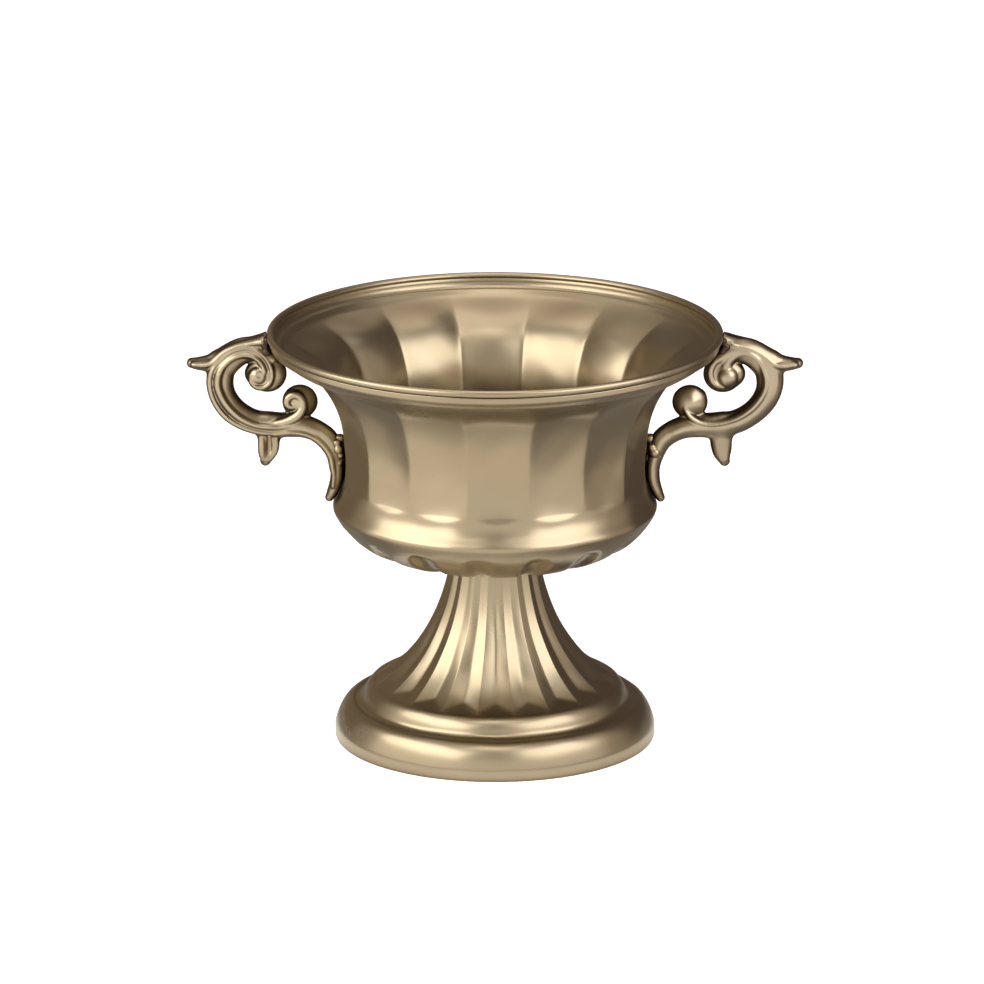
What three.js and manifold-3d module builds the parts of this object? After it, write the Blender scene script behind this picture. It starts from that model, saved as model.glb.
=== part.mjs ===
// A metal pedestal bowl: a pressed, panelled bowl with a rolled rim, bolted to a hollow
// fluted foot, with two cast scroll handles brazed to the rim and to the waist.
// Millimetres, +Z up. The origin is on the axis, on the surface that the foot stands on.
// -Y is the front, and the handles lie along X.

import * as THREE from 'three';
import { mergeVertices } from 'three/addons/utils/BufferGeometryUtils.js';
import Module from 'manifold-3d';

const wasm = await Module();
wasm.setup();

// Driving dimensions: the whole
const fitGap = 0.3;
const footHeight = 66.3;
const bowlHeight = 86.1;

// Bowl: rim and collar
const bowlSheet = 1.0;
const rimRadius = 82.5;
const beadDiameter = 2.6;
const collarInset = 1.1;
const collarHeight = 5.0;
const grooveDepth = 0.5;
const ledgeWidth = 3.0;
const ledgeDrop = 1.4;

// Bowl: wall, belly and floor, with heights above the bowl's floor
const waistRadius = 55.3;
const waistHeight = 37.4;
const bellyRadius = 58.85;
const bellyHeight = 19.7;
const shoulderRise = 11.7;
const floorRadius = 17;
const panelCount = 16;
const panelDepth = 1.9;
const panelHead = 1.3;
const panelFade = 11;
const panelToe = 4.5;
const panelToeMargin = 2;
const panelTurn = 1.1;
const scoopCount = 16;
const scoopDepth = 1.3;
const scoopDrop = 3.6;
const scoopToe = 2.5;
const scoopTurn = 14.3;

// Foot: fluted stem, step and base, with heights above the table
const footSheet = 1.0;
const stemRadius = 16.4;
const fluteCount = 20;
const fluteEndRadius = 43.8;
const fluteEndHeight = 20.2;
const fluteDepthTop = 0.7;
const fluteDepthEnd = 1.8;
const fluteToe = 1.6;
const fluteTurn = 0.5;
const stepWidth = 4.3;
const stepDrop = 4.6;
const coveWidth = 3.1;
const coveDrop = 2.2;
const footRadius = 58.4;
const footWallHeight = 4.3;
const hemWidth = 3.2;

// Handle casting
const handleThickness = 6.8;
const tailThickness = 5.6;
const spikeThickness = 5.0;
const voluteThickness = 8.6;
const ribHalfWidth = 1.9;
const ribRise = 2.6;
const armHalfHeight = 3.4;
const armReach = 8;
const armFall = 2.5;
const strokeUnit = 1;
const brazeRadius = 3.0;
const brazeSpread = 1.2;
const brazeRise = 22;

// Centre bolt, nut and washers
const boltDiameter = 6;
const boltHeadDiameter = 12;
const boltHeadHeight = 4;
const boltTail = 3;
const boltChamfer = 0.6;
const recessWidth = 1.3;
const recessDepth = 2.2;
const sealDiameter = 20;
const sealThickness = 1.5;
const plateWasherDiameter = 22;
const plateWasherThickness = 1.6;
const springWasherDiameter = 11;
const springWasherThickness = 1.5;
const springWasherSlit = 1.2;
const nutAcrossFlats = 10;
const nutHeight = 5;

// Mesh steps
const bowlSteps = panelCount * 4;
const footSteps = fluteCount * 3;
const roundSteps = 24;

// Places worked out from the dimensions above
const boltHoleRadius = boltDiameter / 2 + fitGap;
const bowlFloor = footHeight + fitGap;
const rimTop = bowlFloor + bowlHeight;
const collarRadius = rimRadius - collarInset;
const collarFoot = rimTop - collarHeight;
const ledge = new THREE.Vector2(collarRadius - ledgeWidth, collarFoot - ledgeDrop);
const waist = new THREE.Vector2(waistRadius, bowlFloor + waistHeight);
const belly = new THREE.Vector2(bellyRadius, bowlFloor + bellyHeight);
const shoulder = new THREE.Vector2(waistRadius, belly.y + shoulderRise);
const panelTop = ledge.y - panelHead;
const scoopTop = belly.y - scoopDrop;
const fluteEnd = new THREE.Vector2(fluteEndRadius, fluteEndHeight);
const stepEnd = new THREE.Vector2(fluteEndRadius + stepWidth, fluteEndHeight - stepDrop);
const coveEnd = new THREE.Vector2(stepEnd.x + coveWidth, stepEnd.y - coveDrop);

const gold = { color: 0xb09f80, roughness: 0.34, metalness: 1 };
const castGold = { color: 0xb3a07a, roughness: 0.36, metalness: 1 };
const brazeGold = { color: 0x9a8468, roughness: 0.5, metalness: 1 };
const zincPlate = { color: 0xb9bcc0, roughness: 0.35, metalness: 1 };
const rubber = { color: 0x26262a, roughness: 0.8, metalness: 0 };

function point(r, z) {
  return new THREE.Vector2(r, z);
}

// A curve from start to end. The two handles are shares of the way across and up.
function bend(start, end, [leaveX, leaveY, arriveX, arriveY], steps) {
  const way = end.clone().sub(start);
  const leave = start.clone().add(point(way.x * leaveX, way.y * leaveY));
  const arrive = end.clone().sub(point(way.x * arriveX, way.y * arriveY));
  return new THREE.CubicBezierCurve(start, leave, arrive, end).getPoints(steps);
}

function joined(...runs) {
  return runs.reduce((all, run) => all.concat(run.slice(1)));
}

// 0 at low, 1 at high, smooth in between
function ramp(value, low, high) {
  return THREE.MathUtils.smoothstep(value, low, high);
}

// How far an angle lies from the middle of its flute: 0 at the middle, 1 at an edge
function acrossFlute(angle, count) {
  const turns = (angle / (2 * Math.PI)) * count;
  return Math.abs(turns - Math.round(turns)) * 2;
}

// The inward side of each point of an outline that runs from its foot upwards
function inwardNormals(outline) {
  return outline.map((p, i) => {
    const before = outline[Math.max(i - 1, 0)];
    const after = outline[Math.min(i + 1, outline.length - 1)];
    const along = after.clone().sub(before).normalize();
    return point(-along.y, along.x);
  });
}

// One face of a formed sheet, at a depth below its outline. Each entry holds its place,
// its inward side, and the outline's point that its relief follows.
function sheetFace(outline, depth) {
  const inward = inwardNormals(outline);
  return outline.map((outer, i) => ({
    place: outer.clone().addScaledVector(inward[i], depth),
    inward: inward[i],
    outer,
  }));
}

function plain(...places) {
  return places.map((place) => ({ place, inward: point(0, 0), outer: place }));
}

// Removes spare attributes, seams and faces without area, so that the mesh is closed
function closedMesh(geometry) {
  const bare = new THREE.BufferGeometry();
  bare.setAttribute('position', geometry.getAttribute('position').clone());
  if (geometry.index) bare.setIndex(geometry.index.clone());
  const merged = mergeVertices(bare, 1e-4);
  const corners = merged.index.array;
  const kept = [];
  for (let i = 0; i < corners.length; i += 3) {
    const [a, b, c] = corners.slice(i, i + 3);
    if (a !== b && b !== c && c !== a) kept.push(a, b, c);
  }
  merged.setIndex(kept);
  return merged;
}

// Turns a profile round Z, and presses its relief in by depthAt(angle, outer point)
function formed(profile, steps, depthAt) {
  const places = profile.map((entry) => entry.place);
  const lathe = new THREE.LatheGeometry(places, steps);
  const position = lathe.getAttribute('position');
  for (let i = 0; i < position.count; i += 1) {
    const { place, inward, outer } = profile[i % profile.length];
    const angle = (Math.floor(i / profile.length) / steps) * 2 * Math.PI;
    const depth = depthAt(angle, outer);
    const r = place.x + inward.x * depth;
    const z = place.y + inward.y * depth;
    position.setXYZ(i, r * Math.sin(angle), -r * Math.cos(angle), z);
  }
  return closedMesh(lathe);
}

function turned(places, steps = roundSteps) {
  return closedMesh(new THREE.LatheGeometry(places, steps).rotateX(Math.PI / 2));
}

function toSolid(geometry) {
  const closed = closedMesh(geometry);
  const vertProperties = new Float32Array(closed.getAttribute('position').array);
  const triVerts = new Uint32Array(closed.index.array);
  return new wasm.Manifold(new wasm.Mesh({ numProp: 3, vertProperties, triVerts }));
}

function toGeometry(solid) {
  const mesh = solid.getMesh();
  const geometry = new THREE.BufferGeometry();
  geometry.setAttribute('position', new THREE.BufferAttribute(mesh.vertProperties, 3));
  geometry.setIndex(new THREE.BufferAttribute(mesh.triVerts, 1));
  return geometry;
}

// Bowl

function bowlOutline() {
  const underside = bend(point(floorRadius, bowlFloor), belly, [0.438, 0.218, 0.194, 0.837], 7);
  const shoulderCurve = bend(belly, shoulder, [-0.203, 0.224, 0, 0.703], 4);
  const wall = bend(waist, ledge, [0, 0.904, 0.116, 0.141], 7);
  return joined(underside, shoulderCurve, [shoulder, ...wall]);
}

// Wall panels above the belly and short scoops below it, pressed in
function bowlRelief(angle, outer) {
  if (outer.y > belly.y) {
    const across = acrossFlute(angle, panelCount);
    const fadeIn = ramp(outer.y, belly.y + panelToe, shoulder.y - panelToeMargin);
    const fadeOut = 1 - ramp(outer.y, panelTop - panelFade, panelTop);
    return panelDepth * (1 - across * across) * fadeIn * fadeOut;
  }
  const turn = THREE.MathUtils.degToRad(scoopTurn);
  const across = Math.min(acrossFlute(angle - turn, scoopCount) * 1.5, 1);
  const top = 1 - ramp(outer.y, scoopTop - scoopToe, scoopTop);
  const foot = ramp(outer.x, floorRadius, floorRadius * 1.8);
  return scoopDepth * (1 + Math.cos(across * Math.PI)) / 2 * top * foot;
}

// The rolled bead at the top of the collar, from its outer foot round to its inner foot
function beadPoints() {
  const radius = beadDiameter / 2;
  const centre = point(rimRadius - radius, rimTop - radius);
  const roll = new THREE.EllipseCurve(
    centre.x, centre.y, radius, radius, -Math.PI / 4, Math.PI * 1.25, false,
  );
  return roll.getPoints(6);
}

function collarPoints() {
  const groove = collarRadius - grooveDepth;
  return [
    point(ledge.x + bowlSheet, ledge.y + bowlSheet * 0.4),
    point(collarRadius - bowlSheet * 0.3, collarFoot),
    point(collarRadius, collarFoot + bowlSheet * 0.7),
    point(collarRadius, rimTop - beadDiameter - bowlSheet * 0.3),
    point(groove, rimTop - beadDiameter + 0.2),
  ];
}

function collarInside() {
  const inner = collarRadius - grooveDepth - bowlSheet;
  return [
    point(inner, rimTop - beadDiameter),
    point(inner, collarFoot + bowlSheet * 0.2),
    point(ledge.x - bowlSheet * 0.4, ledge.y + bowlSheet * 1.1),
  ];
}

function bowlGeometry() {
  const outline = bowlOutline();
  const inside = sheetFace(outline, bowlSheet).slice(0, -1).reverse();
  const holeFoot = point(boltHoleRadius, bowlFloor);
  const profile = [
    ...plain(holeFoot),
    ...sheetFace(outline, 0),
    ...plain(...collarPoints(), ...beadPoints(), ...collarInside()),
    ...inside,
    ...plain(point(boltHoleRadius, bowlFloor + bowlSheet), holeFoot),
  ];
  return formed(profile, bowlSteps, bowlRelief);
}

// The bowl filled and grown by a gap, to cut what meets it
function bowlEnvelope(gap) {
  const wall = sheetFace(bowlOutline(), -gap);
  const around = [
    point(collarRadius + gap, collarFoot - gap),
    point(rimRadius + gap, rimTop - beadDiameter),
    point(rimRadius + gap, rimTop + gap),
    point(0, rimTop + gap),
  ];
  const profile = [...plain(point(0, bowlFloor - gap)), ...wall, ...plain(...around)];
  const solid = toSolid(formed(profile, bowlSteps, bowlRelief));
  return solid.rotate([0, 0, panelTurn]);
}

// The bowl's outer radius at the middle of a wall panel, at a height above the belly
function panelRadius(z) {
  const wall = bowlOutline().filter((p) => p.y >= belly.y);
  const next = Math.max(wall.findIndex((p) => p.y >= z), 1);
  const [low, high] = [wall[next - 1], wall[next]];
  const share = (z - low.y) / (high.y - low.y);
  const radius = THREE.MathUtils.lerp(low.x, high.x, share);
  return radius - bowlRelief(0, point(radius, z));
}

// Foot

function footOutline() {
  const wall = [point(footRadius, 0), point(footRadius, footWallHeight)];
  const roll = bend(wall[1], coveEnd, [0, 0.05, 0.68, -0.066], 5);
  const cove = bend(coveEnd, stepEnd, [0.6, 0, 0.1, 0.5], 2);
  const step = bend(stepEnd, fluteEnd, [0.2, 0.55, 0.4, 0], 3);
  const plate = point(stemRadius, footHeight);
  const stem = bend(fluteEnd, plate, [0.526, 0.176, 0.104, 0.44], 8);
  return joined(wall, roll, cove, step, stem);
}

// Flutes on the stem, deeper towards their ends, which stop short at the step
function footRelief(angle, outer) {
  const across = acrossFlute(angle + Math.PI / fluteCount, fluteCount);
  const down = ramp(outer.x, stemRadius, fluteEndRadius);
  const depth = THREE.MathUtils.lerp(fluteDepthTop, fluteDepthEnd, down);
  const toe = 1 - ramp(outer.x, fluteEndRadius - fluteToe, fluteEndRadius);
  const top = 1 - ramp(outer.y, footHeight - footSheet * 3, footHeight - footSheet);
  return depth * (1 - across * across) * toe * top;
}

function footGeometry() {
  const outline = footOutline();
  const inside = sheetFace(outline, footSheet).slice(1, -1).reverse();
  const plateUnderside = footHeight - footSheet;
  const innerFoot = footRadius - hemWidth;
  const profile = [
    ...sheetFace(outline, 0),
    ...plain(point(boltHoleRadius, footHeight), point(boltHoleRadius, plateUnderside)),
    ...plain(point(stemRadius - footSheet, plateUnderside)),
    ...inside,
    ...plain(point(footRadius - footSheet, footSheet), point(innerFoot, footSheet)),
    ...plain(point(innerFoot, 0), point(footRadius, 0)),
  ];
  return formed(profile, footSteps, footRelief);
}

// Handle casting, drawn as the right handle: +X outwards, ornament on the +Y side

// Strokes of the casting, in stroke units: outwards from the rim, up from the rim's top,
// half the width
const scrollStroke = [
  [-2.3, -10.3, 3.1],
  [2.7, -7.9, 4.1],
  [7.8, -7.6, 4.9],
  [12.9, -10.3, 5.2],
  [16.1, -14.4, 5.1],
  [17.0, -18.6, 5.0],
  [16.5, -22.4, 4.9],
  [14.5, -26.5, 4.9],
  [11.0, -30.3, 4.7],
  [6.3, -33.7, 4.4],
  [1.3, -35.4, 4.3],
  [-4.1, -35.8, 4.4],
  [-9.2, -35.7, 4.4],
];
const spikeStroke = [
  [12.4, -10.2, 4.6],
  [17.6, -11.2, 3.4],
  [22.4, -12.0, 2.6],
  [26.4, -12.3, 1.8],
  [28.6, -12.3, 1.1],
];
const spurStroke = [
  [-0.6, -36.0, 4.6],
  [-0.8, -43.0, 4.0],
  [-0.8, -47.2, 3.0],
  [0.0, -50.2, 1.9],
  [0.4, -51.4, 1.0],
];
const lowerScrollRoot = [-1.0, -33.6, 2.8];

// The scroll ends coil round these places: outwards and up from the rim, outer radius,
// half width of the coiled bar, and the turn that it starts and ends at in degrees
const upperVolute = { at: [-0.5, -16.8], radius: 6.8, halfWidth: 2.8, from: 140, to: 450 };
const lowerVolute = { at: [-12.1, -27.0], radius: 6.0, halfWidth: 2.6, from: -95, to: -430 };

// The tail leaves the scroll: share of the way to the wall, up from the rim's top, half width
const tailArm = [
  [0, -35.7, 4.3],
  [0.3, -36.5, 4.2],
  [0.57, -38.2, 4.2],
  [0.83, -41.5, 4.0],
];
// Then it follows the wall: height above the belly, half the width
const tailOnWall = [
  [19.4, 3.3],
  [14.6, 2.9],
  [9.8, 2.7],
  [5.6, 2.2],
  [2.9, 1.2],
];

function fromRim([outwards, up, width]) {
  return [rimRadius + outwards * strokeUnit, rimTop + up * strokeUnit, width * strokeUnit];
}

// A coil that winds in towards its middle, from its outer turn
function coilStroke({ at, radius, halfWidth, from, to }) {
  const steps = 8;
  const points = [];
  for (let i = 0; i <= steps; i += 1) {
    const share = i / steps;
    const turn = THREE.MathUtils.degToRad(THREE.MathUtils.lerp(from, to, share));
    const reach = (radius - halfWidth) * (1 - 0.7 * share ** 3);
    const place = [at[0] + reach * Math.cos(turn), at[1] + reach * Math.sin(turn)];
    points.push(fromRim([...place, halfWidth]));
  }
  return points;
}

// The scroll's bar, with as much of its upper coil as wanted
function mainScroll(coilPoints) {
  const coil = coilStroke(upperVolute).slice(0, coilPoints).reverse();
  return [...coil, ...scrollStroke.map(fromRim)];
}

function lowerScroll() {
  return [fromRim(lowerScrollRoot), ...coilStroke(lowerVolute)];
}

function tailStroke() {
  const resting = tailOnWall.map(([rise, width]) => {
    const z = belly.y + rise * strokeUnit;
    const half = width * strokeUnit;
    return [panelRadius(z) + half + fitGap, z, half];
  });
  const [start] = fromRim(scrollStroke[scrollStroke.length - 1]);
  const arm = tailArm.map(([share, up, width]) => {
    const [, z, half] = fromRim([0, up, width]);
    return [THREE.MathUtils.lerp(start, resting[0][0], share), z, half];
  });
  return [...arm, ...resting];
}

// The raised rib along a stroke, on the ornamented side only
function ribOn(stroke) {
  const middle = stroke.map(([x, z]) => [x, z, ribHalfWidth]);
  return castBar(middle, ribHalfWidth * 2, ribRise);
}

// A bar of oval section along [x, z, half width] points, with rounded ends
function castBar(stroke, thickness, lift = 0) {
  const centre = stroke.map(([x, z]) => new THREE.Vector3(x, lift, z));
  const curve = new THREE.CatmullRomCurve3(centre, false, 'centripetal');
  const sides = 8;
  const count = stroke.length - 1;
  const rings = [];
  const ringAt = (t, shift, scale) => {
    const span = t * (stroke.length - 1);
    const start = Math.min(Math.floor(span), stroke.length - 2);
    const width = THREE.MathUtils.lerp(stroke[start][2], stroke[start + 1][2], span - start);
    const along = curve.getTangent(t);
    const middle = curve.getPoint(t).addScaledVector(along, shift * width);
    const side = new THREE.Vector3(-along.z, 0, along.x);
    const half = thickness / 2 * Math.min(width * 2.6 / thickness + 0.2, 1);
    const ring = [];
    for (let k = 0; k < sides; k += 1) {
      const turn = (k / sides) * 2 * Math.PI;
      const place = middle.clone().addScaledVector(side, Math.cos(turn) * width * scale);
      place.y += Math.sin(turn) * half * scale;
      ring.push(place);
    }
    rings.push({ middle, ring });
  };
  ringAt(0, -0.8, 0.6);
  for (let i = 0; i <= count; i += 1) ringAt(i / count, 0, 1);
  ringAt(1, 0.8, 0.6);
  return skinned(rings, sides);
}

// Joins rings of points into a closed mesh, with a flat fan over each end
function skinned(rings, sides) {
  const vertices = rings.flatMap(({ ring }) => ring);
  const first = vertices.push(rings[0].middle) - 1;
  const last = vertices.push(rings[rings.length - 1].middle) - 1;
  const faces = [];
  for (let i = 0; i < rings.length - 1; i += 1) {
    for (let k = 0; k < sides; k += 1) {
      const next = (k + 1) % sides;
      const [a, b] = [i * sides + k, i * sides + next];
      faces.push(a, a + sides, b, b, a + sides, b + sides);
    }
  }
  const top = (rings.length - 1) * sides;
  for (let k = 0; k < sides; k += 1) {
    const next = (k + 1) % sides;
    faces.push(first, k, next, last, top + next, top + k);
  }
  const geometry = new THREE.BufferGeometry().setFromPoints(vertices);
  geometry.setIndex(faces);
  return geometry;
}

// The arm from the scroll to the rim, long enough to be cut by the rim itself
function armStroke() {
  const z = rimTop - armHalfHeight - fitGap;
  return [
    [rimRadius - collarInset, z, armHalfHeight],
    [rimRadius + armReach / 4, z, armHalfHeight],
    [rimRadius + armReach, z - armFall, armHalfHeight],
  ];
}

function castingBody() {
  const bars = [
    castBar(mainScroll(2), handleThickness),
    ribOn(mainScroll(6)),
    castBar(coilStroke(upperVolute), voluteThickness),
    castBar(lowerScroll(), voluteThickness),
    castBar(spikeStroke.map(fromRim), spikeThickness),
    castBar(spurStroke.map(fromRim), spikeThickness),
    castBar(tailStroke(), tailThickness),
    castBar(armStroke(), handleThickness),
  ];
  return bars.map(toSolid).reduce((all, bar) => all.add(bar));
}

// Lumps of braze that join the arm to the collar and the tail to the wall
function brazeLump([x, y, z], [rx, ry, rz], grow) {
  const lump = new THREE.SphereGeometry(1, 12, 6).rotateX(Math.PI / 2);
  return toSolid(lump.scale(rx + grow, ry + grow, rz + grow).translate(x, y, z));
}

function upperLump(grow) {
  const place = [collarRadius + brazeRadius * 0.3, 0, collarFoot - fitGap];
  const size = [brazeRadius, handleThickness / 2 + brazeSpread, brazeRadius + brazeSpread];
  return brazeLump(place, size, grow);
}

function lowerLump(grow) {
  const z = belly.y + brazeRise;
  const size = [brazeRadius, tailThickness / 2 + brazeSpread, brazeRadius + brazeSpread];
  return brazeLump([panelRadius(z), 0, z], size, grow);
}

function brazeGeometry(lump, side) {
  const cut = bowlEnvelope(fitGap).rotate([0, 0, side]);
  return toGeometry(lump(0).subtract(cut));
}

function handleGeometry(side) {
  const cut = bowlEnvelope(fitGap).rotate([0, 0, side]);
  const lumps = upperLump(fitGap).add(lowerLump(fitGap));
  return toGeometry(castingBody().subtract(cut).subtract(lumps));
}

// Fixings on the axis, stacked from the bolt's head down to the nut

const sealBase = bowlFloor + bowlSheet + fitGap;
const headBase = sealBase + sealThickness + fitGap;
const plateWasherBase = footHeight - footSheet - fitGap - plateWasherThickness;
const springWasherBase = plateWasherBase - fitGap - springWasherThickness;
const nutBase = springWasherBase - fitGap - nutHeight;
const boltEnd = nutBase - boltTail;

function washer(diameter, thickness, base) {
  const [inner, outer] = [boltHoleRadius, diameter / 2];
  return turned([
    point(inner, base),
    point(outer, base),
    point(outer, base + thickness),
    point(inner, base + thickness),
    point(inner, base),
  ]);
}

function plateWasherGeometry() {
  return washer(plateWasherDiameter, plateWasherThickness, plateWasherBase);
}

function boltGeometry() {
  const [shank, head] = [boltDiameter / 2, boltHeadDiameter / 2];
  const crown = bend(
    point(head, headBase + boltHeadHeight * 0.35),
    point(0, headBase + boltHeadHeight),
    [0, 0.6, 0.6, 0], 5,
  );
  const body = toSolid(turned([
    point(0, boltEnd),
    point(shank - boltChamfer, boltEnd),
    point(shank, boltEnd + boltChamfer),
    point(shank, headBase),
    point(head, headBase),
    ...crown,
  ]));
  const slot = new THREE.BoxGeometry(boltHeadDiameter * 0.5, recessWidth, recessDepth * 2);
  slot.translate(0, 0, headBase + boltHeadHeight);
  const across = slot.clone().rotateZ(Math.PI / 2);
  return toGeometry(body.subtract(toSolid(slot)).subtract(toSolid(across)));
}

function springWasherGeometry() {
  const ring = washer(springWasherDiameter, springWasherThickness, springWasherBase);
  const slit = new THREE.BoxGeometry(springWasherDiameter, springWasherSlit, springWasherThickness * 3);
  slit.rotateX(Math.PI / 9);
  slit.translate(springWasherDiameter / 2, 0, springWasherBase + springWasherThickness / 2);
  return toGeometry(toSolid(ring).subtract(toSolid(slit)));
}

function nutGeometry() {
  const corner = nutAcrossFlats / 2 / Math.cos(Math.PI / 6);
  const hexagon = new THREE.Shape(new THREE.EllipseCurve(0, 0, corner, corner).getPoints(6));
  hexagon.holes.push(new THREE.Path().absarc(0, 0, boltHoleRadius, 0, 2 * Math.PI, true));
  const body = new THREE.ExtrudeGeometry(hexagon, {
    depth: nutHeight, bevelEnabled: false, curveSegments: roundSteps / 2,
  });
  return closedMesh(body.translate(0, 0, nutBase));
}

// Assembly

function piece(name, geometry, look, turn = 0) {
  const mesh = new THREE.Mesh(geometry, new THREE.MeshStandardMaterial(look));
  mesh.name = name;
  mesh.rotation.z = THREE.MathUtils.degToRad(turn);
  return mesh;
}

// One casting serves both sides: the left one is the right one turned half round
function handleSide(name, side) {
  return [
    piece(`${name}_handle`, handleGeometry(side), castGold, side),
    piece(`${name}_upper_braze`, brazeGeometry(upperLump, side), brazeGold, side),
    piece(`${name}_lower_braze`, brazeGeometry(lowerLump, side), brazeGold, side),
  ];
}

const pedestalBowl = new THREE.Group();
pedestalBowl.add(
  piece('bowl', bowlGeometry(), gold, panelTurn),
  piece('foot', footGeometry(), gold, 180 / fluteCount + fluteTurn),
  ...handleSide('right', 0),
  ...handleSide('left', 180),
  piece('centre_bolt', boltGeometry(), zincPlate),
  piece('seal_washer', washer(sealDiameter, sealThickness, sealBase), rubber),
  piece('plate_washer', plateWasherGeometry(), zincPlate),
  piece('spring_washer', springWasherGeometry(), zincPlate),
  piece('hex_nut', nutGeometry(), zincPlate),
);

export default pedestalBowl;
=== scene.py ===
"""Looks for a metal pedestal bowl: pressed steel bowl and foot with a satin champagne-gold
finish, and two cast scroll handles brazed to it. Lengths in the pieces' code are millimetres.
"""
import math

import bpy
import numpy as np
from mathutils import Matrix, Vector


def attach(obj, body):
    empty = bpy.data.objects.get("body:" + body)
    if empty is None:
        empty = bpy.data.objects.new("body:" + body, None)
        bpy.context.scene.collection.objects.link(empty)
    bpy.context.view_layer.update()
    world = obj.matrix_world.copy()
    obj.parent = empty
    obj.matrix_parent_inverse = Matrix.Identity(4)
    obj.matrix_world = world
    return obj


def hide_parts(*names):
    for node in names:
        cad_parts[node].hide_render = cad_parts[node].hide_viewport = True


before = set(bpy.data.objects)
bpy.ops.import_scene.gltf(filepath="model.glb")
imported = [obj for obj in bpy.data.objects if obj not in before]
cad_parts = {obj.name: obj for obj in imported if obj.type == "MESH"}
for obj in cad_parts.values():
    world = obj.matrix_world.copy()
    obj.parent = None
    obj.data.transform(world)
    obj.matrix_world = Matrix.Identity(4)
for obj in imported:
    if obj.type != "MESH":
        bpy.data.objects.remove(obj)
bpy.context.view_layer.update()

MM = 0.001
FULL_TURN = 2 * math.pi

# Sizes shared with the solids
RIM_RADIUS = 82.5
RIM_TOP = 152.7
BOWL_FLOOR = 66.6
BOLT_HOLE = 3.3
FOOT_TOP = 66.3
SHEET = 1.0


# Materials. Lengths are in millimetres. The real grain of each finish is too fine to show in
# the picture, so it is drawn coarser.

CLOUD = 38
CREVICE = 5
# Distances from the middle of the casting over which the painted shade on the relief fades out
RELIEF_SHADE_FROM = 2.0
RELIEF_SHADE_TO = 4.4
SHEEN_SPREAD = 0.03


def linear(hex_colour):
    """Linear RGBA of an sRGB hex value such as "B0A080"."""
    shares = [int(hex_colour[i:i + 2], 16) / 255 for i in (0, 2, 4)]
    bent = [s / 12.92 if s <= 0.04045 else ((s + 0.055) / 1.055) ** 2.4 for s in shares]
    return (*bent, 1.0)


def new_material(name):
    material = bpy.data.materials.new(name)
    material.use_nodes = True
    material.node_tree.nodes.clear()
    return material


def add(tree, kind, settings=None, **inputs):
    """Adds a node. A value sets an input, and a socket links to it. An input is named, or
    given by its place after an underscore."""
    node = tree.nodes.new(kind)
    for key, value in (settings or {}).items():
        setattr(node, key, value)
    for key, value in inputs.items():
        socket = node.inputs[int(key[1:]) if key[0] == "_" else key.replace("_", " ")]
        if isinstance(value, bpy.types.NodeSocket):
            tree.links.new(value, socket)
        else:
            socket.default_value = value
    return node


def flank_shaded_tone(tree, place, tone, hex_flank_shade):
    """The tone with painted shade: darker on the flanks, where the surface turns away from the two
    faces, and on the relief near the middle of the casting, so that the crests read lighter. A
    crest takes none of this shade from the larger of the two distances out from the middle of the
    casting, and more of it nearer to it."""
    facing = add(tree, "ShaderNodeTexCoord").outputs["Normal"]
    side = add(tree, "ShaderNodeSeparateXYZ", Vector=facing)
    square = add(tree, "ShaderNodeMath", {"operation": "ABSOLUTE"}, _0=side.outputs["Y"])
    face = add(tree, "ShaderNodeMapRange", {"clamp": True}, Value=square.outputs[0],
               From_Min=0.3, From_Max=0.9, To_Min=0.0, To_Max=1.0)
    apart = add(tree, "ShaderNodeSeparateXYZ", Vector=place)
    rise = add(tree, "ShaderNodeMath", {"operation": "ABSOLUTE"}, _0=apart.outputs["Y"])
    crest = add(tree, "ShaderNodeMapRange", {"clamp": True}, Value=rise.outputs[0],
                From_Min=RELIEF_SHADE_FROM * MM, From_Max=RELIEF_SHADE_TO * MM, To_Min=0.65, To_Max=1.0)
    # Painted shade on the flanks and on the low relief near the middle of the casting
    unshaded = add(tree, "ShaderNodeMath", {"operation": "MULTIPLY"}, _0=face.outputs[0],
                _1=crest.outputs[0])
    return add(tree, "ShaderNodeMix", {"data_type": "RGBA"}, Factor=unshaded.outputs[0],
               _6=linear(hex_flank_shade), _7=tone.outputs[2])


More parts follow.
